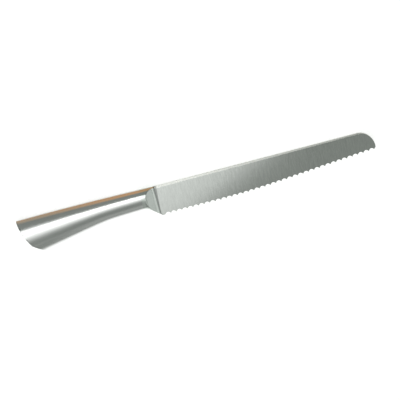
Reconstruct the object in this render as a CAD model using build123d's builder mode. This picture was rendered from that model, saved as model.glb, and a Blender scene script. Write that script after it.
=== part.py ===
"""A bread knife with a hollow steel handle, lying on its side.

+X runs from the butt to the tip, +Y from the cutting edge to the spine, and +Z is the blade's right side.
The origin is the bottom centre of the knife's box. Millimetres.
"""

import os
from math import atan2, cos, hypot, sin

from build123d import *

os.makedirs("parts", exist_ok=True)

# Blade
blade_length = 230.0  # bolster front to tip
blade_thickness = 2.5
heel_depth = 34.3  # spine to edge at the heel
tip_depth = 22.1  # spine to the edge's line at the tip
edge_bend = 92.5  # where the edge turns up, from the bolster
edge_bend_radius = 715.0
nose_length = 17.5  # the rounded nose, a quarter of an ellipse
tip_flat = 2.5  # the short upright end between the nose and the edge
spine_bevel_height = 2.1  # at the heel
spine_bevel_tip_height = 1.2
spine_bevel_depth = 0.75  # into each side of the spine, at the heel

# Serration, ground from the left side
scallop_pitch = 5.92
first_scallop = 6.6  # middle of the first scallop, from the bolster
gullet_depth = 2.35  # on the right side
grind_height = 9.0  # on the left side
cusp_flat_depth = 0.12  # how much of each sharp cusp is dressed off

# Tang
tang_length = 48.0
tang_height = 12.0
tang_thinning = 0.3  # ground off the tang, both sides together
tang_end_radius = 3.0
tang_key_radius = 2.0  # the notches that the setting compound locks into
tang_key_setback = 8.0  # from the tang's end

# Handle, distances measured back from the bolster's front
handle_length = 145.3
neck = 12.5  # where the flare below the bolster meets the handle
neck_depth = 22.3  # top to bottom at the neck
neck_thickness = 14.0
neck_slope = 0.042  # fall of the underside from the neck to the waist
waist = 55.3  # where the underside turns down into the belly
waist_blend = 8.0
belly_slope = 0.21
back_rise = 1.7  # how far the back arches over the spine's line
back_crest = 98.0
butt_thickness = 20.0
shell_wall = 1.2
grip_stations = 17
grip_overrun = 2.0  # how far the handle is drawn past its end before the butt is cut

# Bolster
heel_overhang = 0.9  # how far the blade's heel reaches below the bolster
bolster_length = 16.0
ridge_back = 1.6  # front face to the raised ridge
ridge_width = 2.0
front_step = 0.35  # how far the bolster's front stands out of the blade's side
ridge_rise = 0.75  # from there to the top of the ridge
scoop_length = 8.2
scoop_hollow = 0.5
spigot_length = 8.0
spigot_gap = 0.05
slot_clearance = 0.1

# Butt and setting compound
butt_rake = 9.1  # how far the butt's face leans forward, top to corner
butt_corner_depth = 27.0
butt_bulge = 1.0
butt_middle_setback = 6.0  # where the butt's face is widest, from the handle's end
toe_setback = 20.1  # the sharp lower corner, from the handle's end
cap_thickness = 1.5
filler_cover = 12.0  # compound behind the tang's end


def grip_top(behind):
    """The back's height over the spine's line, a shallow parabola."""
    return back_rise * (1 - (behind / back_crest - 1) ** 2)


def grip_bottom(behind):
    """The underside: two straight runs with a smooth bend at the waist."""
    past_waist = (behind - waist + hypot(behind - waist, waist_blend)) / 2
    fall = neck_slope * (behind - neck) + (belly_slope - neck_slope) * past_waist
    return -(neck_depth + fall)


def grip_thickness(behind):
    """The handle thickens evenly from the neck to the butt."""
    run = handle_length - butt_middle_setback - neck
    return neck_thickness + (butt_thickness - neck_thickness) * (behind - neck) / run


# Frame: the bolster's front, on the spine's line, at mid-thickness
toe_depth = -grip_bottom(handle_length - toe_setback)
front_x = (handle_length - blade_length) / 2
spine_y = (toe_depth - back_rise) / 2
middle_z = butt_thickness / 2
side = Plane(origin=(front_x, spine_y, middle_z), x_dir=(1, 0, 0), z_dir=(0, 0, 1))


def cross_plane(behind):
    """A plane across the handle: its x is the thickness, its y the height."""
    return Plane(origin=(front_x - behind, spine_y, middle_z), x_dir=(0, 0, 1), z_dir=(-1, 0, 0))


def oval(behind, top, bottom, thickness):
    """An upright oval across the handle, for a loft."""
    with BuildSketch(cross_plane(behind)) as section:
        with Locations((0, (top + bottom) / 2)):
            Ellipse(thickness / 2, (top - bottom) / 2)
    return section.sketch


def grip_section(behind, inset=0.0):
    """The handle's oval at one place, drawn inside its surface by the inset."""
    top = grip_top(behind) - inset
    bottom = grip_bottom(behind) + inset
    return oval(behind, top, bottom, grip_thickness(behind) - 2 * inset)


def grip_solid(inset=0.0):
    """The whole handle behind the bolster, run on past the butt, drawn in by the inset."""
    run = handle_length + grip_overrun - bolster_length
    steps = [bolster_length + run * step / (grip_stations - 1) for step in range(grip_stations)]
    with BuildPart() as solid:
        loft([grip_section(behind, inset) for behind in steps], ruled=True)
    return solid.part


def beyond_butt(shift=0.0):
    """All that lies behind the butt's curved face, or behind that face moved forward by the shift."""
    end = shift - handle_length
    top = Vector(end, back_rise)
    corner = Vector(end + butt_rake, -butt_corner_depth)
    toe = Vector(end + toe_setback, -toe_depth)
    below_toe = toe + (toe - corner)
    with BuildPart() as waste:
        with BuildSketch(side):
            with BuildLine():
                SagittaArc(top, corner, butt_bulge)
                Polyline(corner, below_toe, (2 * end, below_toe.Y), (2 * end, top.Y), top)
            make_face()
        extrude(amount=butt_thickness, both=True)
    return waste.part


def spine_bevel(face):
    """The plane of one spine bevel, on the blade's right (1) or left (-1) side, facing out of the steel."""
    heel_top = Vector(0, 0, face * (blade_thickness / 2 - spine_bevel_depth))
    heel_bottom = Vector(0, -spine_bevel_height, face * blade_thickness / 2)
    tip_bottom = Vector(blade_length, -spine_bevel_tip_height, face * blade_thickness / 2)
    along = tip_bottom - heel_bottom
    outward = along.cross(heel_top - heel_bottom) * face
    return Plane(origin=side.from_local_coords(heel_bottom), x_dir=along, z_dir=outward)


# The edge's line, from the heel to the tip
with BuildLine(side) as edge_line:
    FilletPolyline(
        (0, -heel_depth),
        (edge_bend, -heel_depth),
        (blade_length, -tip_depth),
        radius=edge_bend_radius,
    )
edge = edge_line.wire()

# Blade: stamped from sheet with its tang, bevelled along the spine, then scalloped
nose_depth = tip_depth - tip_flat
tang_thickness = blade_thickness - tang_thinning
tang_middle = (grip_top(neck) + grip_bottom(neck)) / 2
tang_top = tang_middle + tang_height / 2
tang_bottom = tang_middle - tang_height / 2
with BuildPart() as blade:
    with BuildSketch(side):
        with BuildLine():
            FilletPolyline(
                (0, -heel_depth),
                (edge_bend, -heel_depth),
                (blade_length, -tip_depth),
                radius=edge_bend_radius,
            )
            Line((blade_length, -tip_depth), (blade_length, -nose_depth))
            EllipticalCenterArc(
                (blade_length - nose_length, -nose_depth), nose_length, nose_depth, arc_size=90
            )
            Polyline((blade_length - nose_length, 0), (0, 0), (0, -heel_depth))
        make_face()
    extrude(amount=blade_thickness / 2, both=True)
    for face in (1, -1):
        split(bisect_by=spine_bevel(face), keep=Keep.BOTTOM)

    grind_rise = grind_height - gullet_depth
    grind_tilt = atan2(blade_thickness, grind_rise)
    sagitta = gullet_depth * sin(grind_tilt)
    wheel_radius = ((scallop_pitch / 2) ** 2 + sagitta**2) / (2 * sagitta)
    wheel_width = 4 * grind_height
    scallop_count = int((edge.length - first_scallop) / scallop_pitch) + 1
    wheels = []
    for scallop in range(scallop_count):
        along = (first_scallop + scallop * scallop_pitch) / edge.length
        inward = edge.tangent_at(along).rotate(Axis.Z, 90)
        up = Vector(0, 0, 1)
        gullet = edge.position_at(along) + inward * (gullet_depth - cusp_flat_depth)
        gullet += up * blade_thickness / 2
        wheel_axis = inward * cos(grind_tilt) - up * sin(grind_tilt)
        wheel_middle = gullet - (inward * sin(grind_tilt) + up * cos(grind_tilt)) * wheel_radius
        wheels.append(Plane(origin=wheel_middle, x_dir=edge.tangent_at(along), z_dir=wheel_axis))
    with Locations(*wheels):
        Cylinder(wheel_radius, wheel_width, mode=Mode.SUBTRACT)

    with BuildSketch(side):
        with Locations((0, tang_middle)):
            Rectangle(tang_length, tang_height, align=(Align.MAX, Align.CENTER))
        tang_corners = vertices().group_by(Axis.X)[0]
        fillet(tang_corners, radius=tang_end_radius)
        with Locations(
            (tang_key_setback - tang_length, tang_top), (tang_key_setback - tang_length, tang_bottom)
        ):
            Circle(tang_key_radius, mode=Mode.SUBTRACT)
    extrude(amount=tang_thickness / 2, both=True)
blade.part.label = "blade"
export_step(blade.part, "parts/blade.step")

# Bolster: the neck and the flare down to the heel, scooped on both sides, slotted for the tang
bolster_depth = heel_depth - heel_overhang
front_half_thickness = blade_thickness / 2 + front_step
ridge_half_thickness = front_half_thickness + ridge_rise
with BuildPart() as bolster:
    front = oval(0, 0, -bolster_depth, neck_thickness)
    loft([grip_section(bolster_length), grip_section(neck), front], ruled=True)
    scoop_start = ridge_back + ridge_width
    scoop_end = scoop_start + scoop_length
    with BuildSketch(Plane(origin=side.origin, x_dir=(1, 0, 0), z_dir=(0, -1, 0))):
        with BuildLine():
            Polyline(
                (0, front_half_thickness),
                (-ridge_back, ridge_half_thickness),
                (-scoop_start, ridge_half_thickness),
            )
            SagittaArc(
                (-scoop_start, ridge_half_thickness),
                (-scoop_end, neck_thickness / 2),
                scoop_hollow,
            )
            Polyline(
                (-scoop_end, neck_thickness / 2),
                (-scoop_end, neck_thickness),
                (neck_thickness, neck_thickness),
                (neck_thickness, front_half_thickness),
                (0, front_half_thickness),
            )
        make_face()
        mirror(about=Plane.XZ)
    extrude(amount=2 * bolster_depth, both=True, mode=Mode.SUBTRACT)
    spigot_ends = (bolster_length, bolster_length + spigot_length)
    loft([grip_section(behind, shell_wall + spigot_gap) for behind in spigot_ends], ruled=True)
    with BuildSketch(cross_plane(0)):
        with Locations((0, tang_middle)):
            Rectangle(tang_thickness + 2 * slot_clearance, tang_height + 2 * slot_clearance)
    extrude(amount=bolster_length + spigot_length, mode=Mode.SUBTRACT)
bolster.part.label = "bolster"
export_step(bolster.part, "parts/bolster.step")

# Two pressed halves, welded along the back and the belly
with BuildPart() as handle_shell_right:
    add(grip_solid())
    add(grip_solid(shell_wall), mode=Mode.SUBTRACT)
    add(beyond_butt(), mode=Mode.SUBTRACT)
    split(bisect_by=side, keep=Keep.TOP)
handle_shell_right.part.label = "handle_shell_right"
export_step(handle_shell_right.part, "parts/handle_shell_right.step")

with BuildPart() as handle_shell_left:
    mirror(handle_shell_right.part, about=side)
handle_shell_left.part.label = "handle_shell_left"
export_step(handle_shell_left.part, "parts/handle_shell_left.step")

# Butt cap: a plate of even thickness, set flush inside the shells
with BuildPart() as butt_cap:
    add(grip_solid(shell_wall))
    add(beyond_butt(cap_thickness), mode=Mode.INTERSECT)
    add(beyond_butt(), mode=Mode.SUBTRACT)
butt_cap.part.label = "butt_cap"
export_step(butt_cap.part, "parts/butt_cap.step")

# Setting compound, cast round the tang behind the bolster's spigot
with BuildPart() as tang_filler:
    add(grip_solid(shell_wall))
    split(bisect_by=cross_plane(bolster_length + spigot_length), keep=Keep.TOP)
    split(bisect_by=cross_plane(tang_length + filler_cover), keep=Keep.BOTTOM)
    add(blade.part, mode=Mode.SUBTRACT)
tang_filler.part.label = "tang_filler"
export_step(tang_filler.part, "parts/tang_filler.step")
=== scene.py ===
"""A scalloped bread knife with a hollow steel handle, lying on a pale table in soft studio light.

+X runs from the butt to the tip, +Y from the cutting edge to the spine, and +Z out of the blade's right
side. Everything is in metres, but the lengths in the settings are given in millimetres.
"""

import math

import bmesh
import bpy
from bpy.props import FloatProperty, FloatVectorProperty, IntProperty, PointerProperty
from mathutils import Matrix, Vector


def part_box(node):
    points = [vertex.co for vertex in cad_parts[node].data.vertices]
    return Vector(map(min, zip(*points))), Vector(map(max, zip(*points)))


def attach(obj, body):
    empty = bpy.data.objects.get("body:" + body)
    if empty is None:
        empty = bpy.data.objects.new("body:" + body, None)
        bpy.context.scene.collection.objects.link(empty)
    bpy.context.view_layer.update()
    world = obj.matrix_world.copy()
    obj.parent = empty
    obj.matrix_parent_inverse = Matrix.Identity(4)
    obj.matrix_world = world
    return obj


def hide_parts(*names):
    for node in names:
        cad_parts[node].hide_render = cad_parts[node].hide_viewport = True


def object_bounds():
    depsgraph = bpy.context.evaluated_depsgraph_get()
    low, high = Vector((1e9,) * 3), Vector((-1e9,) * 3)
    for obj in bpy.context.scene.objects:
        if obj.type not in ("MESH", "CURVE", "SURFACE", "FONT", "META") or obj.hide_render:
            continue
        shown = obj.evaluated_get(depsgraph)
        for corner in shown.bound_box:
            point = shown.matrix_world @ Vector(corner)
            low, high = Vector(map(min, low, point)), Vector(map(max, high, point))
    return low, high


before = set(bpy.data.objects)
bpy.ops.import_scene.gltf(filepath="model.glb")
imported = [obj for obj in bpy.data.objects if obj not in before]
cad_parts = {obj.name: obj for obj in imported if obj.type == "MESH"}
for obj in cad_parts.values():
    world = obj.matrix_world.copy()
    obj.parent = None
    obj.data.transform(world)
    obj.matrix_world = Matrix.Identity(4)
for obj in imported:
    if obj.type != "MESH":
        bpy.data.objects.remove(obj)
cad_low, cad_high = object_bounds()

bl_info = {
    "name": "Bread Knife",
    "version": (1, 0, 0),
    "blender": (4, 5, 0),
    "location": "View3D > Sidebar > Bread Knife",
    "description": "Builds a scalloped bread knife with a hollow steel handle, on a lit table",
    "category": "Mesh",
}

MM = 0.001
BODY = "root"
GRAIN_MAP = "grain"
NEAR = 0.1 * MM

# Faces that meet at less than the first angle are smoothed, and edges sharper than the others rubbed round
SMOOTH_UP_TO = math.radians(30)
SPINE_CREASE = math.radians(10)
BOLSTER_CREASE = math.radians(12)
RIM_CREASE = math.radians(25)

# Steps of the curves that are drawn point by point
EDGE_STEPS = 46
NOSE_STEPS = 32
BOW_STEPS = 24
NOTCH_STEPS = 16
CORNER_STEPS = 12

blade_low, blade_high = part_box("blade")
bolster_low, bolster_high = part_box("bolster")
shell_low, shell_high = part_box("handle_shell_right")

# The bolster's front, on the spine's line, at mid-thickness: every size is measured from here
DATUM = Vector((bolster_high.x, blade_high.y, (blade_low.z + blade_high.z) / 2))
UP = Vector((0, 0, 1))


# Settings


def size_mm(name, description, millimetres):
    """A length that a user may change, kept in metres."""
    return FloatProperty(name=name, description=description, default=millimetres * MM, unit="LENGTH")


def share(name, description, default):
    """A share from nothing to all."""
    return FloatProperty(
        name=name, description=description, default=default, min=0, max=1, subtype="FACTOR"
    )


class BladeSizes(bpy.types.PropertyGroup):
    """Sizes of the blade that its box doesn't give."""

    edge_bend: size_mm("Edge bend", "Where the edge turns up, from the bolster", 92.5)
    bend_radius: size_mm("Bend radius", "Radius of the edge's gentle turn", 715)
    tip_depth: size_mm("Tip depth", "From the spine to the edge at the tip", 22.1)
    nose_length: size_mm("Nose length", "Length of the rounded nose", 17.5)
    tip_flat: size_mm("Tip flat", "The short upright end between the nose and the edge", 2.5)
    spine_bevel_height: size_mm(
        "Spine bevel height", "How far the bevel runs down the blade's side at the heel", 2.1
    )
    spine_bevel_tip_height: size_mm(
        "Spine bevel height at the tip", "How far the bevel runs down at the tip", 1.2
    )
    spine_bevel_depth: size_mm(
        "Spine bevel depth", "How far the bevel runs into the spine at the heel", 0.75
    )
    edge_softness: size_mm("Edge softness", "Width of the polished-off corners", 0.16)


class TangSizes(bpy.types.PropertyGroup):
    """Sizes of the tang, which the handle hides."""

    height: size_mm("Height", "Height of the tang", 12)
    thinning: size_mm("Thinning", "Ground off the tang, both sides together", 0.3)
    end_radius: size_mm("End radius", "Radius of the rounded end", 3)
    key_radius: size_mm("Key radius", "Radius of the two notches", 2)
    key_setback: size_mm("Key setback", "From the tang's end to the notches", 8)
    slot_clearance: size_mm("Slot clearance", "Room round the tang in the bolster", 0.1)


class ScallopSizes(bpy.types.PropertyGroup):
    """Sizes of the scallops, which are ground from the left side."""

    pitch: size_mm("Pitch", "From one cusp to the next", 5.92)
    first: size_mm("First scallop", "Middle of the first scallop, from the bolster", 6.6)
    gullet_depth: size_mm("Gullet depth", "Depth on the right side", 2.35)
    grind_height: size_mm("Grind height", "Height of each scallop on the left side", 9)
    cusp_flat_depth: size_mm("Cusp flat", "How much of each sharp cusp is dressed off", 0.12)
    wheel_sides: IntProperty(
        name="Wheel sides", description="Sides of the round wheel that cuts a scallop", default=160
    )


class GripSizes(bpy.types.PropertyGroup):
    """Sizes of the hollow handle, with distances measured back from the bolster's front."""

    length: size_mm("Length", "From the bolster's front to the butt's top", 145.25)
    neck: size_mm("Neck", "Where the flare under the bolster meets the handle", 12.5)
    neck_depth: size_mm("Neck depth", "Top to bottom at the neck", 22.3)
    neck_thickness: size_mm("Neck thickness", "Side to side at the neck", 14)
    neck_slope: FloatProperty(
        name="Neck slope", description="Fall of the underside ahead of the waist", default=0.042
    )
    waist: size_mm("Waist", "Where the underside turns down into the belly", 55.3)
    waist_blend: size_mm("Waist blend", "Softness of the turn at the waist", 8)
    belly_slope: FloatProperty(
        name="Belly slope", description="Fall of the underside behind the waist", default=0.21
    )
    back_rise: size_mm("Back rise", "How far the back arches over the spine's line", 1.7)
    back_crest: size_mm("Back crest", "Where the back is highest", 98)
    butt_thickness: size_mm("Butt thickness", "Side to side at the butt", 19.92)
    wall: size_mm("Wall", "Thickness of the pressed halves", 1.2)
    ring_gap: size_mm("Ring gap", "Distance between rings of the mesh", 2)
    ring_sides: IntProperty(name="Ring sides", description="Sides of each ring of the mesh", default=256)


class BolsterSizes(bpy.types.PropertyGroup):
    """Sizes of the bolster."""

    depth: size_mm("Depth", "Top to bottom at the front", 33.4)
    corner_blend: size_mm("Corner blend", "Softness of the corner under the neck", 1.4)
    ridge_back: size_mm("Ridge back", "From the front to the raised ridge", 1.6)
    ridge_width: size_mm("Ridge width", "Width of the raised ridge", 2)
    front_half: size_mm("Front half-thickness", "Half the thickness at the front", 1.6)
    ridge_half: size_mm("Ridge half-thickness", "Half the thickness at the ridge", 2.35)
    scoop_length: size_mm("Scoop length", "Length of the scooped facet", 8.2)
    scoop_hollow: size_mm("Scoop hollow", "How far the facet is hollowed", 0.5)
    spigot_gap: size_mm("Spigot gap", "Room between the spigot and the shells", 0.05)
    crease_softness: size_mm("Crease softness", "Width of the polished-off corners", 0.22)


class ButtSizes(bpy.types.PropertyGroup):
    """Sizes of the slanted butt."""

    rake: size_mm("Rake", "How far the face leans forward, top to corner", 9.1)
    corner_depth: size_mm("Corner depth", "From the spine's line to the corner", 27)
    bulge: size_mm("Bulge", "How far the face bows out", 1)
    middle_setback: size_mm("Middle setback", "Where the handle is thickest, from its end", 6)
    toe_setback: size_mm("Toe setback", "Lower corner, from the handle's end", 20.1)
    plate: size_mm("Plate", "Thickness of the closing plate", 1.5)
    seam: size_mm("Seam", "The fine line round the closing plate", 0.04)
    rim_softness: size_mm("Rim softness", "Width of the polished-off rim", 0.4)


class FinishSettings(bpy.types.PropertyGroup):
    """Colours and roughness of the steels, and the painted shade beside the bolster's front."""

    blade_colour: FloatVectorProperty(
        name="Blade", description="Colour of the satin blade", subtype="COLOR", default=(0.65, 0.67, 0.65)
    )
    bevel_shade: FloatVectorProperty(
        name="Bevel shade", description="How much of the blade's colour its bevels keep", subtype="COLOR",
        default=(0.85, 0.84, 0.82),
    )
    bolster_colour: FloatVectorProperty(
        name="Bolster", description="Colour of the bolster", subtype="COLOR", default=(0.60, 0.64, 0.61)
    )
    grip_colour: FloatVectorProperty(
        name="Handle", description="Colour of the polished handle", subtype="COLOR",
        default=(0.66, 0.67, 0.66),
    )
    blade_roughness: share("Blade roughness", "Roughness of the satin grain", 0.2)
    bevel_roughness: share("Bevel roughness", "How much rougher the blade's bevels are", 0.18)
    bolster_roughness: share("Bolster roughness", "Roughness of the bolster's polish", 0.2)
    grip_roughness: share("Handle roughness", "Roughness of the handle's polish", 0.2)
    # Painted shade: the next three settings darken the blade's colour in a strip beside the bolster, which
    # narrows towards the edge
    heel_shade_width: size_mm(
        "Joint width", "Dull strip that the grinding leaves on the blade at the bolster", 2.4
    )
    heel_shade_lean: FloatProperty(
        name="Joint lean", description="How fast the dull strip narrows towards the edge", default=0.08
    )
    heel_shade_share: share("Joint shade", "How much of the blade's colour the dull strip keeps", 0.55)
    # Painted shade on the bolster's front step
    step_shade: share("Step shade", "How much of the bolster's colour its front step keeps", 0.6)


class StageSettings(bpy.types.PropertyGroup):
    """The camera, the room, the table and the warm card."""

    tilt: FloatProperty(
        name="Tilt", description="Camera's lean from straight above towards the spine",
        default=math.radians(28), subtype="ANGLE",
    )
    roll: FloatProperty(
        name="Roll", description="Rise of the knife across the picture",
        default=math.radians(14.66), subtype="ANGLE",
    )
    frame_width: size_mm("Frame width", "Width of the view at the blade", 407.2)
    lens: FloatProperty(
        name="Lens", description="Focal length in millimetres", default=100.0, unit="CAMERA"
    )
    aim_along: size_mm("Aim along", "Middle of the view, from the bolster towards the tip", 41.8)
    aim_below: size_mm("Aim below", "Middle of the view, under the spine in the picture", 25.5)
    surround_colour: FloatVectorProperty(
        name="Surround", description="Colour of the room round the table", subtype="COLOR",
        default=(0.28, 0.3, 0.28),
    )
    table_colour: FloatVectorProperty(
        name="Table", description="Colour of the table", subtype="COLOR", default=(0.8, 0.8, 0.8)
    )
    table_glow: FloatProperty(
        name="Table glow", description="Light that the table gives, to keep it white", default=0.68
    )
    card_colour: FloatVectorProperty(
        name="Card", description="Colour of the warm card beside the spine", subtype="COLOR",
        default=(0.66, 0.40, 0.22),
    )
    card_end_colour: FloatVectorProperty(
        name="Card's end", description="Colour of the warm card's end by the butt", subtype="COLOR",
        default=(0.5, 0.41, 0.31),
    )


class KnifeSettings(bpy.types.PropertyGroup):
    """Everything that a user of the panel would change."""

    blade: PointerProperty(type=BladeSizes)
    tang: PointerProperty(type=TangSizes)
    scallops: PointerProperty(type=ScallopSizes)
    grip: PointerProperty(type=GripSizes)
    bolster: PointerProperty(type=BolsterSizes)
    butt: PointerProperty(type=ButtSizes)
    finish: PointerProperty(type=FinishSettings)
    stage: PointerProperty(type=StageSettings)


def settings():
    return bpy.context.scene.bread_knife


# Modelling by hand


def deselect_everything():
    bpy.ops.object.select_all(action="DESELECT")


def take_up(piece):
    """Make the piece the only selected one, and the active one."""
    deselect_everything()
    piece.select_set(True)
    bpy.context.view_layer.objects.active = piece


def settle(piece):
    """Put the piece's place into its mesh, with its origin at the frame's."""
    take_up(piece)
    bpy.ops.object.transform_apply(location=True, rotation=True, scale=True)


def apply_modifier(piece, kind, **values):
    take_up(piece)
    modifier = piece.modifiers.new(kind.lower(), kind)
    for name, value in values.items():
        setattr(modifier, name, value)
    bpy.ops.object.modifier_apply(modifier=modifier.name)


def combine(piece, other, operation):
    """Cut, join or intersect one solid with another, and drop the other."""
    apply_modifier(piece, "BOOLEAN", operation=operation, solver="EXACT", object=other)
    bpy.data.objects.remove(other)


def select_edges(piece, wanted):
    """In edit mode, select only the edges whose two ends and angle between faces pass the test."""
    bpy.ops.mesh.select_mode(type="EDGE")
    mesh = bmesh.from_edit_mesh(piece.data)
    for edge in mesh.edges:
        edge.select_set(wanted(edge.verts[0].co, edge.verts[1].co, edge.calc_face_angle(0.0)))
    mesh.select_flush_mode()
    bmesh.update_edit_mesh(piece.data)


def draw_prism(name, outline, thickness):
    """A solid with a drawn outline: one vertex is run along it, the face is filled and then extruded."""
    deselect_everything()
    bpy.ops.mesh.primitive_plane_add(size=MM, location=outline[0])
    prism = bpy.context.object
    prism.name = name
    settle(prism)
    bpy.ops.object.mode_set(mode="EDIT")
    bpy.ops.mesh.select_mode(type="VERT")
    bpy.ops.mesh.select_all(action="SELECT")
    bpy.ops.mesh.merge(type="CENTER")
    for start, end in zip(outline, outline[1:]):
        bpy.ops.mesh.extrude_vertices_move(TRANSFORM_OT_translate={"value": end - start})
    bpy.ops.mesh.select_all(action="SELECT")
    bpy.ops.mesh.edge_face_add()
    bpy.ops.mesh.select_mode(type="FACE")
    bpy.ops.mesh.extrude_region_move(TRANSFORM_OT_translate={"value": thickness})
    bpy.ops.mesh.select_all(action="SELECT")
    bpy.ops.mesh.normals_make_consistent(inside=False)
    bpy.ops.object.mode_set(mode="OBJECT")
    return prism


def draw_tube(name, ovals, sides):
    """A closed solid through upright ovals, each given by its middle, half height and half thickness."""
    middle, height, thickness = ovals[0]
    deselect_everything()
    bpy.ops.mesh.primitive_circle_add(
        vertices=sides, radius=1, fill_type="NGON", location=middle, rotation=(0, math.pi / 2, 0)
    )
    tube = bpy.context.object
    tube.name = name
    tube.scale = (thickness, height, 1)
    settle(tube)
    bpy.ops.object.mode_set(mode="EDIT")
    bpy.ops.mesh.select_mode(type="FACE")
    bpy.ops.mesh.select_all(action="SELECT")
    for next_middle, next_height, next_thickness in ovals[1:]:
        bpy.ops.mesh.extrude_region_move(TRANSFORM_OT_translate={"value": next_middle - middle})
        bpy.ops.transform.resize(
            value=(1, next_height / height, next_thickness / thickness), center_override=next_middle
        )
        middle, height, thickness = next_middle, next_height, next_thickness
    bpy.ops.mesh.select_mode(type="EDGE")
    bpy.ops.mesh.select_all(action="DESELECT")
    bpy.ops.mesh.select_non_manifold()
    bpy.ops.mesh.edge_face_add()
    bpy.ops.mesh.select_all(action="SELECT")
    bpy.ops.mesh.normals_make_consistent(inside=False)
    bpy.ops.object.mode_set(mode="OBJECT")
    return tube


def arc(middle, across, rise, start, end, steps):
    """Points of an ellipse's arc about a middle, from one angle to another."""
    turns = [start + (end - start) * step / steps for step in range(steps + 1)]
    return [middle + Vector((across * math.cos(turn), rise * math.sin(turn), 0)) for turn in turns]


def bowed(start, end, bulge, away):
    """Points of an arc from start to end, bowed towards a direction by the bulge."""
    chord = end - start
    radius = (chord.length_squared / 4 + bulge**2) / (2 * bulge)
    half_turn = math.asin(chord.length / 2 / radius)
    points = []
    for step in range(BOW_STEPS + 1):
        turn = half_turn * (2 * step / BOW_STEPS - 1)
        along = 0.5 + math.sin(turn) / math.sin(half_turn) / 2
        rise = radius * (math.cos(turn) - math.cos(half_turn))
        points.append(start + chord * along + away * rise)
    return points


def lay_grain(piece):
    """Lay a map over the piece whose first direction runs from butt to tip, across the ground grain."""
    grain = piece.data.uv_layers.new(name=GRAIN_MAP)
    for loop in piece.data.loops:
        place = piece.data.vertices[loop.vertex_index].co
        grain.data[loop.index].uv = (place.x, place.y)


def finish_piece(piece, name, material, replaced):
    """Smooth the round faces, keep the flat ones flat, and hand the piece over to the frame."""
    piece.name = name
    piece.data.name = name
    piece.data.materials.clear()
    piece.data.materials.append(material)
    take_up(piece)
    bpy.ops.object.shade_smooth_by_angle(angle=SMOOTH_UP_TO)
    apply_modifier(piece, "WEIGHTED_NORMAL", keep_sharp=True, weight=80)
    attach(piece, BODY)
    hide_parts(replaced)
    return piece


# Shape of the handle


def grip_top(behind):
    """The back's height over the spine's line, a shallow parabola."""
    sizes = settings().grip
    return sizes.back_rise * (1 - (behind / sizes.back_crest - 1) ** 2)


def grip_bottom(behind):
    """The underside: two straight runs with a smooth bend at the waist."""
    sizes = settings().grip
    past_waist = (behind - sizes.waist + math.hypot(behind - sizes.waist, sizes.waist_blend)) / 2
    fall = sizes.neck_slope * (behind - sizes.neck) + (sizes.belly_slope - sizes.neck_slope) * past_waist
    return -(sizes.neck_depth + fall)


def grip_half_thickness(behind):
    """The handle thickens evenly from the neck to the butt, where it touches the table."""
    sizes = settings().grip
    run = sizes.length - settings().butt.middle_setback - sizes.neck
    growth = (sizes.butt_thickness - sizes.neck_thickness) / 2
    return sizes.neck_thickness / 2 + growth * (behind - sizes.neck) / run


def grip_oval(behind, inset=0.0):
    top = grip_top(behind) - inset
    bottom = grip_bottom(behind) + inset
    middle = DATUM + Vector((-behind, (top + bottom) / 2, 0))
    return middle, (top - bottom) / 2, grip_half_thickness(behind) - inset


def grip_tube(name, front, back, inset=0.0):
    """A closed solid of the handle between two places, drawn inside its surface by the inset."""
    sizes = settings().grip
    count = round((back - front) / sizes.ring_gap)
    ovals = [grip_oval(front + (back - front) * step / count, inset) for step in range(count + 1)]
    return draw_tube(name, ovals, sizes.ring_sides)


def on_grip_surface(point):
    """Whether a point lies on the handle's outer skin, within a small share of its half depth."""
    slack = 0.02
    middle, height, thickness = grip_oval(DATUM.x - point.x)
    return math.hypot((point.y - middle.y) / height, (point.z - middle.z) / thickness) > 1 - slack


def behind_butt(shift=0.0):
    """All that lies behind the butt's curved face, or behind that face moved forward by the shift."""
    sizes = settings().butt
    room = 20 * MM
    end = DATUM + Vector((shift - settings().grip.length, 0, -2 * room))
    top = end + Vector((0, settings().grip.back_rise, 0))
    corner = end + Vector((sizes.rake, -sizes.corner_depth, 0))
    toe = end + Vector((sizes.toe_setback, cad_low.y - DATUM.y, 0))
    away = Vector((-(top - corner).y, (top - corner).x, 0)).normalized()
    outline = bowed(top, corner, sizes.bulge, away)
    outline.append(toe + (toe - corner))
    outline.append(Vector((end.x - 2 * room, outline[-1].y, end.z)))
    outline.append(Vector((end.x - 2 * room, top.y + room, end.z)))
    outline.append(top + Vector((0, room, 0)))
    return draw_prism("behind_butt", outline, Vector((0, 0, 4 * room)))


# Steels

# How fine each pattern is along, down and across the knife, in waves to the metre
GROUND_GRAIN = (1500, 45, 45)
GROUND_STREAKS = (900, 110, 110)
WIPE_MARKS = (60, 900, 900)
BUFFED_CLOUDS = (35, 60, 60)
RESIN_FLOW = (120, 200, 200)

# How deep the marks are
GRAIN_DEPTH = 0.006 * MM
WIPE_DEPTH = 0.004 * MM
FLOW_DEPTH = 0.1 * MM

# How square to the side a face of the blade stands: bevels under the first, sides over the second
BEVEL_TO, SIDE_FROM = 0.95, 0.99

# How softly the strips of painted shade begin
HEEL_SHADE_BLUR = 0.6 * MM
STEP_BLUR = 0.3 * MM

RESIN_DARK, RESIN_LIGHT = (0.035, 0.033, 0.03), (0.07, 0.066, 0.06)


def new_material(name):
    material = bpy.data.materials.new(name)
    material.use_nodes = True
    nodes = material.node_tree.nodes
    return material, nodes, material.node_tree.links, nodes["Principled BSDF"]


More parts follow.
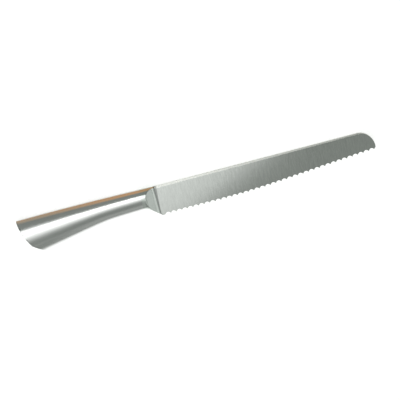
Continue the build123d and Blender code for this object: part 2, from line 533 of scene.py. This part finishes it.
def stretched_noise(nodes, links, scale, seed=(0, 0, 0), detail=4.0, roughness=0.55):
    """Noise on object coordinates, finer along the axes with the larger scales."""
    place = nodes.new("ShaderNodeTexCoord")
    stretch = nodes.new("ShaderNodeMapping")
    stretch.inputs["Scale"].default_value = scale
    stretch.inputs["Location"].default_value = seed
    noise = nodes.new("ShaderNodeTexNoise")
    noise.inputs["Scale"].default_value = 1.0
    noise.inputs["Detail"].default_value = detail
    noise.inputs["Roughness"].default_value = roughness
    links.new(place.outputs["Object"], stretch.inputs["Vector"])
    links.new(stretch.outputs["Vector"], noise.inputs["Vector"])
    return noise.outputs["Fac"]


def spread(nodes, links, value, low, high, low_out, high_out):
    """Map a value's range onto another."""
    ranged = nodes.new("ShaderNodeMapRange")
    ranged.inputs["From Min"].default_value = low
    ranged.inputs["From Max"].default_value = high
    ranged.inputs["To Min"].default_value = low_out
    ranged.inputs["To Max"].default_value = high_out
    links.new(value, ranged.inputs["Value"])
    return ranged.outputs["Result"]


def spread_noise(nodes, links, noise, low_out, high_out):
    """Map the values that a noise mostly takes onto another range."""
    return spread(nodes, links, noise, 0.3, 0.7, low_out, high_out)


def shade_between(nodes, links, factor, dark, light):
    mix = nodes.new("ShaderNodeMix")
    mix.data_type = "RGBA"
    mix.inputs["A"].default_value = (*dark, 1)
    mix.inputs["B"].default_value = (*light, 1)
    links.new(factor, mix.inputs["Factor"])
    return mix.outputs["Result"]


def vary_colour(nodes, links, noise, colour, darkest, lightest):
    """A colour that a noise varies between two shares of itself."""
    dark = [channel * darkest for channel in colour]
    light = [min(1, channel * lightest) for channel in colour]
    return shade_between(nodes, links, spread_noise(nodes, links, noise, 0, 1), dark, light)


def darken(nodes, links, colour, shade, amount):
    """Multiply a colour by a shade, where the amount is 1."""
    mix = nodes.new("ShaderNodeMix")
    mix.data_type = "RGBA"
    mix.blend_type = "MULTIPLY"
    mix.inputs["B"].default_value = (*shade, 1)
    links.new(amount, mix.inputs["Factor"])
    links.new(colour, mix.inputs["A"])
    return mix.outputs["Result"]


def multiply_add(nodes, links, value, factor, added):
    product = nodes.new("ShaderNodeMath")
    product.operation = "MULTIPLY_ADD"
    product.inputs[1].default_value = factor
    links.new(value, product.inputs[0])
    links.new(added, product.inputs[2])
    return product.outputs["Value"]


def split_coordinate(nodes, links, kind):
    """The three numbers of a texture coordinate."""
    place = nodes.new("ShaderNodeTexCoord")
    parts = nodes.new("ShaderNodeSeparateXYZ")
    links.new(place.outputs[kind], parts.inputs["Vector"])
    return parts.outputs


def add_bump(nodes, links, height, distance, strength, shader):
    bump = nodes.new("ShaderNodeBump")
    bump.inputs["Distance"].default_value = distance
    bump.inputs["Strength"].default_value = strength
    links.new(height, bump.inputs["Height"])
    links.new(bump.outputs["Normal"], shader.inputs["Normal"])


def stretch_across_grain(nodes, links, shader, amount):
    """Draw the reflections out across the grain, as a ground surface does."""
    shader.inputs["Anisotropic"].default_value = amount
    across = nodes.new("ShaderNodeTangent")
    across.direction_type = "UV_MAP"
    across.uv_map = GRAIN_MAP
    links.new(across.outputs["Tangent"], shader.inputs["Tangent"])


def satin_steel():
    """The blade's steel, ground from spine to edge, with coarser and duller bevels."""
    finish = settings().finish
    material, nodes, links, steel = new_material("satin_blade_steel")
    steel.inputs["Metallic"].default_value = 1.0
    grain = stretched_noise(nodes, links, GROUND_GRAIN, detail=6, roughness=0.7)
    streaks = stretched_noise(nodes, links, GROUND_STREAKS, seed=(3, 7, 1), detail=5, roughness=0.7)
    level = nodes.new("ShaderNodeMath")
    level.operation = "ABSOLUTE"
    links.new(split_coordinate(nodes, links, "Normal")["Z"], level.inputs[0])
    on_bevel = spread(nodes, links, level.outputs["Value"], BEVEL_TO, SIDE_FROM, 1, 0)
    ground = vary_colour(nodes, links, streaks, finish.blade_colour, 0.92, 1.08)
    links.new(darken(nodes, links, ground, finish.bevel_shade, on_bevel), steel.inputs["Base Color"])
    rough = spread_noise(nodes, links, grain, finish.blade_roughness - 0.03, finish.blade_roughness + 0.03)
    links.new(multiply_add(nodes, links, on_bevel, finish.bevel_roughness, rough), steel.inputs["Roughness"])
    add_bump(nodes, links, grain, GRAIN_DEPTH, 0.3, steel)
    stretch_across_grain(nodes, links, steel, 0.3)
    return material


def painted_shade_strip(material, bright_end, shaded_end, share, lean=0.0):
    """Paint shade into the steel's colour beyond a line across the knife, which may lean back towards the
    edge.
    """
    nodes, links = material.node_tree.nodes, material.node_tree.links
    base = nodes["Principled BSDF"].inputs["Base Color"]
    place = split_coordinate(nodes, links, "Object")
    along = multiply_add(nodes, links, place["Y"], -lean, place["X"])
    shift = -lean * DATUM.y
    beyond = spread(nodes, links, along, bright_end + shift, shaded_end + shift, 0, 1)
    links.new(darken(nodes, links, base.links[0].from_socket, (share, share, share), beyond), base)


def polished_steel(name, colour, roughness):
    """Buffed steel with faint lengthwise wipe marks."""
    material, nodes, links, steel = new_material(name)
    steel.inputs["Metallic"].default_value = 1.0
    wipes = stretched_noise(nodes, links, WIPE_MARKS, detail=5, roughness=0.6)
    clouds = stretched_noise(nodes, links, BUFFED_CLOUDS, seed=(5, 2, 9), detail=3)
    links.new(vary_colour(nodes, links, clouds, colour, 0.95, 1.04), steel.inputs["Base Color"])
    rough = spread_noise(nodes, links, wipes, roughness - 0.02, roughness + 0.03)
    links.new(rough, steel.inputs["Roughness"])
    add_bump(nodes, links, wipes, WIPE_DEPTH, 0.25, steel)
    return material


def setting_resin():
    """Dull cast resin with a few flow marks."""
    material, nodes, links, resin = new_material("setting_resin")
    resin.inputs["Roughness"].default_value = 0.7
    flow = stretched_noise(nodes, links, RESIN_FLOW, detail=5)
    shade = spread_noise(nodes, links, flow, 0, 1)
    colour = shade_between(nodes, links, shade, RESIN_DARK, RESIN_LIGHT)
    links.new(colour, resin.inputs["Base Color"])
    add_bump(nodes, links, flow, FLOW_DEPTH, 0.4, resin)
    return material


# Pieces


def tang_middle():
    """The tang's middle line, in the middle of the neck, from the spine's line."""
    neck = settings().grip.neck
    return (grip_top(neck) + grip_bottom(neck)) / 2


class KNIFE_OT_blade(bpy.types.Operator):
    """Build the stamped blade with its tang, spine bevels and ground scallops"""

    bl_idname = "bread_knife.blade"
    bl_label = "Blade"

    def edge_at(self, distance):
        """A point of the edge at a distance from the heel: along, below the spine, and the edge's turn."""
        sizes = settings().blade
        heel_depth = blade_high.y - blade_low.y
        length = blade_high.x - DATUM.x
        turn = math.atan2(heel_depth - sizes.tip_depth, length - sizes.edge_bend)
        straight = sizes.edge_bend - sizes.bend_radius * math.tan(turn / 2)
        bend = min(max(distance - straight, 0), sizes.bend_radius * turn)
        angle = bend / sizes.bend_radius
        rest = max(distance - straight - bend, 0)
        along = min(distance, straight) + sizes.bend_radius * math.sin(angle) + rest * math.cos(angle)
        rise = sizes.bend_radius * (1 - math.cos(angle)) + rest * math.sin(angle)
        return along, heel_depth - rise, angle

    def outline(self):
        """The blank: the edge, the short upright end, the round nose and the spine."""
        sizes = settings().blade
        length = blade_high.x - DATUM.x
        low = Vector((DATUM.x, DATUM.y, blade_low.z))
        points = []
        for step in range(EDGE_STEPS):
            along, below, _ = self.edge_at(length * step / EDGE_STEPS)
            points.append(low + Vector((along, -below, 0)))
        points.append(low + Vector((length, -sizes.tip_depth, 0)))
        nose_depth = sizes.tip_depth - sizes.tip_flat
        nose_middle = low + Vector((length - sizes.nose_length, -nose_depth, 0))
        points.extend(arc(nose_middle, sizes.nose_length, nose_depth, 0, math.pi / 2, NOSE_STEPS))
        points.append(low)
        return points

    def tang(self):
        """The tang, thinner than the blade, with a round end and two notches."""
        sizes = settings().tang
        overlap = 1 * MM
        half = sizes.height / 2
        thickness = blade_high.z - blade_low.z - sizes.thinning
        low = Vector((DATUM.x, DATUM.y + tang_middle(), DATUM.z - thickness / 2))
        end = blade_low.x - DATUM.x
        radius = sizes.end_radius
        notch = end + sizes.key_setback
        key = sizes.key_radius
        outline = [
            low + Vector((overlap, half, 0)),
            *arc(low + Vector((notch, half, 0)), key, key, 0, -math.pi, NOTCH_STEPS),
            *arc(
                low + Vector((end + radius, half - radius, 0)),
                radius, radius, math.pi / 2, math.pi, CORNER_STEPS,
            ),
            *arc(
                low + Vector((end + radius, radius - half, 0)),
                radius, radius, math.pi, 1.5 * math.pi, CORNER_STEPS,
            ),
            *arc(low + Vector((notch, -half, 0)), key, key, math.pi, 0, NOTCH_STEPS),
            low + Vector((overlap, -half, 0)),
        ]
        return draw_prism("tang", outline, Vector((0, 0, thickness)))

    def wheel(self, index):
        """The round wheel that grinds one scallop."""
        sizes = settings().scallops
        thickness = blade_high.z - blade_low.z
        along, below, angle = self.edge_at(sizes.first + index * sizes.pitch)
        tangent = Vector((math.cos(angle), math.sin(angle), 0))
        inward = Vector((-math.sin(angle), math.cos(angle), 0))
        tilt = math.atan2(thickness, sizes.grind_height - sizes.gullet_depth)
        sagitta = sizes.gullet_depth * math.sin(tilt)
        radius = ((sizes.pitch / 2) ** 2 + sagitta**2) / (2 * sagitta)
        gullet = DATUM + Vector((along, -below, thickness / 2))
        gullet += inward * (sizes.gullet_depth - sizes.cusp_flat_depth)
        axis = inward * math.cos(tilt) - UP * math.sin(tilt)
        away = inward * math.sin(tilt) + UP * math.cos(tilt)
        turned = Matrix((tangent, axis.cross(tangent), axis)).transposed()
        bpy.ops.mesh.primitive_cylinder_add(
            vertices=sizes.wheel_sides,
            radius=radius,
            depth=4 * sizes.grind_height,
            location=gullet - away * radius,
            rotation=turned.to_euler(),
        )
        return bpy.context.object

    def grind(self, blade, indices):
        """Grind scallops that don't meet each other, all at once."""
        deselect_everything()
        wheels = [self.wheel(index) for index in indices]
        deselect_everything()
        for wheel in wheels:
            wheel.select_set(True)
        bpy.context.view_layer.objects.active = wheels[0]
        bpy.ops.object.join()
        combine(blade, wheels[0], "DIFFERENCE")

    def execute(self, context):
        sizes = settings().blade
        scallops = settings().scallops
        thickness = blade_high.z - blade_low.z
        blade = draw_prism("blank", self.outline(), Vector((0, 0, thickness)))
        bpy.ops.object.mode_set(mode="EDIT")
        for side in (-1, 1):
            bpy.ops.mesh.select_all(action="SELECT")
            top = UP * side * (thickness / 2 - sizes.spine_bevel_depth)
            bottom = Vector((0, -sizes.spine_bevel_height, side * thickness / 2))
            tip = Vector((blade_high.x - DATUM.x, -sizes.spine_bevel_tip_height, side * thickness / 2))
            outward = (tip - bottom).cross(top - bottom) * side
            bpy.ops.mesh.bisect(
                plane_co=DATUM + bottom, plane_no=outward.normalized(), use_fill=True, clear_outer=True
            )
        nose_start = blade_high.x - sizes.nose_length - 1 * MM

        def along_spine(first, second, angle):
            high = min(first.y, second.y) > DATUM.y - sizes.spine_bevel_height - NEAR
            at_nose = min(first.x, second.x) > nose_start
            long_way = abs(first.z - second.z) < NEAR
            return angle > SPINE_CREASE and long_way and (high or at_nose)

        select_edges(blade, along_spine)
        bpy.ops.mesh.bevel(offset=sizes.edge_softness, offset_type="OFFSET", segments=2, affect="EDGES")
        bpy.ops.object.mode_set(mode="OBJECT")
        length = blade_high.x - DATUM.x
        count = int((length - scallops.first) / scallops.pitch) + 2
        self.grind(blade, range(0, count, 2))
        self.grind(blade, range(1, count, 2))
        combine(blade, self.tang(), "UNION")
        lay_grain(blade)
        finish = settings().finish
        steel = satin_steel()
        # Painted shade: a darker strip on the blade beside the bolster
        heel_shade_end = DATUM.x + finish.heel_shade_width
        painted_shade_strip(steel, heel_shade_end, heel_shade_end - HEEL_SHADE_BLUR, finish.heel_shade_share, finish.heel_shade_lean)
        finish_piece(blade, "scalloped_blade", steel, "blade")
        return {"FINISHED"}


class KNIFE_OT_bolster(bpy.types.Operator):
    """Build the bolster: neck, flare, scooped facets, front ridge and spigot"""

    bl_idname = "bread_knife.bolster"
    bl_label = "Bolster"

    def oval(self, behind):
        """The neck runs forward into the flare, with a soft corner between them."""
        grip = settings().grip
        sizes = settings().bolster
        slope = (sizes.depth - grip.neck_depth) / grip.neck
        ahead = grip.neck - behind
        past_corner = (ahead + math.hypot(ahead, sizes.corner_blend)) / 2
        bottom = grip_bottom(behind) - slope * past_corner - grip.neck_slope * max(ahead, 0)
        top = grip_top(behind)
        middle = DATUM + Vector((-behind, (top + bottom) / 2, 0))
        return middle, (top - bottom) / 2, grip_half_thickness(max(behind, grip.neck))

    def scoop(self, side):
        """All that the scooped facet, the ridge and the front step leave outside them."""
        sizes = settings().bolster
        thickness = settings().grip.neck_thickness
        start = sizes.ridge_back + sizes.ridge_width
        end = start + sizes.scoop_length
        room = 5 * MM
        place = DATUM + Vector((0, 2 * room, 0))

        def point(behind, out):
            return place + Vector((-behind, 0, side * out))

        low, high = point(start, sizes.ridge_half), point(end, thickness / 2)
        inward = Vector((-1, 0, -side)).normalized()
        outline = [
            point(-room, sizes.front_half),
            point(0, sizes.front_half),
            point(sizes.ridge_back, sizes.ridge_half),
            *bowed(low, high, sizes.scoop_hollow, inward),
            point(end, thickness),
            point(-room, thickness),
        ]
        return draw_prism("scoop", outline, Vector((0, -(sizes.depth + 4 * room), 0)))

    def slot(self):
        """The slot that the tang passes through, from the front to the spigot's end."""
        tang = settings().tang
        room = 2 * MM
        half = tang.height / 2 + tang.slot_clearance
        thickness = blade_high.z - blade_low.z - tang.thinning + 2 * tang.slot_clearance
        low = Vector((DATUM.x, DATUM.y + tang_middle(), DATUM.z - thickness / 2))
        back = bolster_low.x - DATUM.x - room
        corners = ((room, half), (back, half), (back, -half), (room, -half))
        outline = [low + Vector((along, height, 0)) for along, height in corners]
        return draw_prism("slot", outline, Vector((0, 0, thickness)))

    def execute(self, context):
        grip = settings().grip
        sizes = settings().bolster
        seam = DATUM.x - shell_high.x
        gap = 0.5 * MM
        count = round(seam / gap)
        ovals = [self.oval(seam * step / count) for step in range(count + 1)]
        inset = grip.wall + sizes.spigot_gap
        ovals.append(grip_oval(seam, inset))
        ovals.append(grip_oval(DATUM.x - bolster_low.x, inset))
        bolster = draw_tube("neck", ovals, grip.ring_sides)
        for side in (-1, 1):
            combine(bolster, self.scoop(side), "DIFFERENCE")
        combine(bolster, self.slot(), "DIFFERENCE")
        bpy.ops.object.mode_set(mode="EDIT")

        def creases(first, second, angle):
            ahead_of_seam = min(first.x, second.x) > DATUM.x - seam + 1 * MM
            in_slot = max(abs(first.z - DATUM.z), abs(second.z - DATUM.z)) < sizes.front_half - NEAR
            return angle > BOLSTER_CREASE and ahead_of_seam and not in_slot

        select_edges(bolster, creases)
        bpy.ops.mesh.bevel(offset=sizes.crease_softness, offset_type="OFFSET", segments=3, affect="EDGES")
        bpy.ops.object.mode_set(mode="OBJECT")
        finish = settings().finish
        steel = polished_steel("bolster_steel", finish.bolster_colour, finish.bolster_roughness)
        # Painted shade: the colour of the bolster's front step is darkened
        step_back = DATUM.x - sizes.ridge_back
        painted_shade_strip(steel, step_back, step_back + STEP_BLUR, finish.step_shade)
        finish_piece(bolster, "scooped_bolster", steel, "bolster")
        return {"FINISHED"}


class KNIFE_OT_handle(bpy.types.Operator):
    """Build the two pressed halves of the hollow handle and the plate that closes its butt"""

    bl_idname = "bread_knife.handle"
    bl_label = "Handle"

    def plate(self):
        """The plate closes the butt, ground flush and set inside the shells' wall."""
        grip = settings().grip
        butt = settings().butt
        front = grip.length - butt.toe_setback - 2 * grip.wall - butt.plate
        plate = grip_tube("plate", front, grip.length + 2 * grip.wall, grip.wall + butt.seam)
        combine(plate, behind_butt(butt.plate), "INTERSECT")
        combine(plate, behind_butt(), "DIFFERENCE")
        return plate

    def tube(self):
        """Both halves in one, hollow, cut off along the butt's face, with the outer rim rubbed round."""
        grip = settings().grip
        seam = DATUM.x - shell_high.x
        end = grip.length + 2 * grip.wall
        tube = grip_tube("grip", seam, end)
        combine(tube, grip_tube("hollow", seam - grip.wall, end + grip.wall, grip.wall), "DIFFERENCE")
        combine(tube, behind_butt(), "DIFFERENCE")
        take_up(tube)
        bpy.ops.object.mode_set(mode="EDIT")

        def outer_rim(first, second, angle):
            at_butt = max(first.x, second.x) < shell_low.x + 2 * settings().butt.toe_setback
            return angle > RIM_CREASE and at_butt and on_grip_surface(first) and on_grip_surface(second)

        select_edges(tube, outer_rim)
        bpy.ops.mesh.bevel(
            offset=settings().butt.rim_softness, offset_type="OFFSET", segments=3, affect="EDGES"
        )
        bpy.ops.object.mode_set(mode="OBJECT")
        return tube

    def execute(self, context):
        finish = settings().finish
        steel = polished_steel("polished_grip_steel", finish.grip_colour, finish.grip_roughness)
        finish_piece(self.plate(), "butt_plate", steel, "butt_cap")
        right = self.tube()
        take_up(right)
        bpy.ops.object.duplicate()
        halves = {"right": right, "left": bpy.context.object}
        for side, half in halves.items():
            take_up(half)
            bpy.ops.object.mode_set(mode="EDIT")
            bpy.ops.mesh.select_all(action="SELECT")
            bpy.ops.mesh.bisect(
                plane_co=DATUM, plane_no=UP, use_fill=True,
                clear_inner=side == "right", clear_outer=side == "left",
            )
            bpy.ops.object.mode_set(mode="OBJECT")
            finish_piece(half, "grip_shell_" + side, steel, "handle_shell_" + side)
        return {"FINISHED"}


class KNIFE_OT_setting(bpy.types.Operator):
    """Finish the setting compound that holds the tang, hidden in the handle"""

    bl_idname = "bread_knife.setting"
    bl_label = "Setting compound"

    def execute(self, context):
        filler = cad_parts["tang_filler"]
        filler.data.materials.clear()
        filler.data.materials.append(setting_resin())
        return {"FINISHED"}


# Stage

# In metres, but for the sensor, which is in millimetres
TABLE_SIDE = 6
VIEW_LIMIT = 20
SENSOR_WIDTH = 36
DOWN = (0, 0, -1)

# Each panel's brightness is what a mirror would show of it
PANELS = {
    "overhead": {
        "middle": (-0.226, -0.2, 1.0), "facing": DOWN, "size": (1.1, 0.69), "brightness": 2.5,
        "turn": math.radians(40), "fade": 0.76,
    },
    "blade_panel": {
        "middle": (-0.178, -0.117, 0.29), "facing": DOWN, "size": (0.54, 0.25), "brightness": 0.59,
        "turn": math.radians(27.4), "reaches": "scalloped_blade",
    },
    "ridge_panel": {
        "middle": (-0.036, -0.055, 0.11), "facing": DOWN, "size": (0.032, 0.09), "brightness": 0.8,
        "reaches": "scooped_bolster",
    },
    "facet_panel": {
        "middle": (0.656, -0.469, 0.591), "facing": (-0.656, 0.469, -0.591), "size": (0.5, 0.75),
        "brightness": 0.46, "reaches": "scooped_bolster",
    },
    "neck_strip": {
        "middle": (-0.07, -0.88, 0.48), "facing": (0, 0.88, -0.48), "size": (0.22, 0.34), "brightness": 0.19,
    },
    "edge_strip": {
        "middle": (-0.1, -1.0, 0.87), "facing": (0, 1.0, -0.87), "size": (1.6, 0.12), "brightness": 0.12,
    },
    "low_edge_panel": {
        "middle": (0, -1.5, 0.18), "facing": (0, 1, 0), "size": (2.4, 0.34), "brightness": 0.25,
    },
}


class KNIFE_OT_stage(bpy.types.Operator):
    """Lay the table, set up the lights and aim the camera"""

    bl_idname = "bread_knife.stage"
    bl_label = "Stage"

    def fade_out(self, light, share):
        """Let a panel grow from nothing to full brightness over a share of its second side."""
        light.use_nodes = True
        nodes, links = light.node_tree.nodes, light.node_tree.links
        place = nodes.new("ShaderNodeNewGeometry")
        sides = nodes.new("ShaderNodeSeparateXYZ")
        links.new(place.outputs["Parametric"], sides.inputs["Vector"])
        growth = spread(nodes, links, sides.outputs["Y"], 0, share, 0, 1)
        squared = nodes.new("ShaderNodeMath")
        squared.operation = "POWER"
        squared.inputs[1].default_value = 2
        links.new(growth, squared.inputs[0])
        links.new(squared.outputs["Value"], nodes["Emission"].inputs["Strength"])

    def softbox(self, name, middle, facing, size, brightness, turn=0.0, fade=0.0, reaches=None):
        """A glowing panel, out of the camera's sight, that may fade out or reach only one piece."""
        light = bpy.data.lights.new(name, "AREA")
        light.shape = "RECTANGLE"
        light.size, light.size_y = size
        light.energy = brightness * math.pi * size[0] * size[1]
        if fade:
            self.fade_out(light, fade)
        box = bpy.data.objects.new(name, light)
        bpy.context.scene.collection.objects.link(box)
        box.location = middle
        turned = Vector(facing).to_track_quat("-Z", "Y").to_matrix() @ Matrix.Rotation(turn, 3, "Z")
        box.rotation_euler = turned.to_euler()
        box.visible_camera = False
        if reaches:
            reached = bpy.data.collections.new(name + "_reaches")
            reached.objects.link(bpy.data.objects[reaches])
            box.light_linking.receiver_collection = reached

    def warm_card(self):
        """A warm card along the spine side, curled up at its far edge, seen only in the steel."""
        sizes = settings().stage
        near = DATUM.y + 14 * MM
        far = 600 * MM
        middle = -5 * MM
        length = 630 * MM
        curl = 320 * MM
        cool_until, warm_from = -260 * MM, -100 * MM
        deselect_everything()
        bpy.ops.mesh.primitive_plane_add(size=1, location=(middle, (near + far) / 2, 1 * MM))
        card = bpy.context.object
        card.name = "warm_card"
        card.scale = (length, far - near, 1)
        settle(card)
        bpy.ops.object.mode_set(mode="EDIT")
        select_edges(card, lambda first, second, angle: min(first.y, second.y) > far - NEAR)
        bpy.ops.mesh.extrude_region_move(TRANSFORM_OT_translate={"value": (0, 0, curl)})
        bpy.ops.object.mode_set(mode="OBJECT")
        material, nodes, links, paper = new_material("warm_card")
        paper.inputs["Base Color"].default_value = (0, 0, 0, 1)
        paper.inputs["Specular IOR Level"].default_value = 0
        along = split_coordinate(nodes, links, "Object")["X"]
        warmth = spread(nodes, links, along, cool_until, warm_from, 0, 1)
        shade = shade_between(nodes, links, warmth, sizes.card_end_colour, sizes.card_colour)
        links.new(shade, paper.inputs["Emission Color"])
        paper.inputs["Emission Strength"].default_value = 1
        card.data.materials.append(material)
        card.visible_camera = False
        card.visible_diffuse = False
        card.visible_shadow = False
        card.visible_transmission = False

    def table(self):
        sizes = settings().stage
        deselect_everything()
        bpy.ops.mesh.primitive_grid_add(x_subdivisions=4, y_subdivisions=4, size=TABLE_SIDE)
        table = bpy.context.object
        table.name = "table"
        material, _, _, paint = new_material("table_white")
        paint.inputs["Base Color"].default_value = (*sizes.table_colour, 1)
        paint.inputs["Roughness"].default_value = 0.6
        paint.inputs["Specular IOR Level"].default_value = 0.2
        paint.inputs["Emission Color"].default_value = (1, 1, 1, 1)
        paint.inputs["Emission Strength"].default_value = sizes.table_glow
        table.data.materials.append(material)

    def camera(self):
        sizes = settings().stage
        towards = Vector((0, math.sin(sizes.tilt), math.cos(sizes.tilt)))
        up = Vector((0, math.cos(sizes.tilt), -math.sin(sizes.tilt)))
        aim = DATUM + Vector((sizes.aim_along, 0, 0)) - up * sizes.aim_below
        data = bpy.data.cameras.new("camera")
        data.lens = sizes.lens
        data.sensor_width = SENSOR_WIDTH
        camera = bpy.data.objects.new("camera", data)
        bpy.context.scene.collection.objects.link(camera)
        distance = sizes.lens * sizes.frame_width / data.sensor_width
        turned = Matrix((Vector((1, 0, 0)), up, towards)).transposed()
        turned = turned @ Matrix.Rotation(-sizes.roll, 3, "Z")
        camera.location = aim + towards * distance
        camera.rotation_euler = turned.to_euler()
        data.clip_end = VIEW_LIMIT
        bpy.context.scene.camera = camera

    def execute(self, context):
        scene = bpy.context.scene
        scene.view_settings.view_transform = "Standard"
        world = bpy.data.worlds.new("room")
        scene.world = world
        world.use_nodes = True
        surround = world.node_tree.nodes["Background"]
        surround.inputs["Color"].default_value = (*settings().stage.surround_colour, 1)
        surround.inputs["Strength"].default_value = 1.0
        self.table()
        for name, panel in PANELS.items():
            self.softbox(name, **panel)
        self.warm_card()
        self.camera()
        return {"FINISHED"}


class VIEW3D_PT_bread_knife(bpy.types.Panel):
    """Sizes and build buttons of the bread knife"""

    bl_label = "Bread Knife"
    bl_idname = "VIEW3D_PT_bread_knife"
    bl_space_type = "VIEW_3D"
    bl_region_type = "UI"
    bl_category = "Bread Knife"

    def draw(self, context):
        layout = self.layout
        for operator in OPERATORS:
            layout.operator(operator.bl_idname)
        for group in ("blade", "tang", "scallops", "grip", "bolster", "butt", "finish", "stage"):
            values = getattr(context.scene.bread_knife, group)
            box = layout.box()
            box.label(text=group.capitalize())
            for name in values.__annotations__:
                box.prop(values, name)


GROUPS = (
    BladeSizes, TangSizes, ScallopSizes, GripSizes, BolsterSizes, ButtSizes, FinishSettings, StageSettings,
    KnifeSettings,
)
OPERATORS = (KNIFE_OT_blade, KNIFE_OT_bolster, KNIFE_OT_handle, KNIFE_OT_setting, KNIFE_OT_stage)


def register():
    for part in (*GROUPS, *OPERATORS, VIEW3D_PT_bread_knife):
        bpy.utils.register_class(part)
    bpy.types.Scene.bread_knife = PointerProperty(type=KnifeSettings)


def unregister():
    del bpy.types.Scene.bread_knife
    for part in reversed((*GROUPS, *OPERATORS, VIEW3D_PT_bread_knife)):
        bpy.utils.unregister_class(part)


def main():
    register()
    bpy.ops.bread_knife.blade()
    bpy.ops.bread_knife.bolster()
    bpy.ops.bread_knife.handle()
    bpy.ops.bread_knife.setting()
    bpy.ops.bread_knife.stage()


if __name__ == "__main__":
    main()
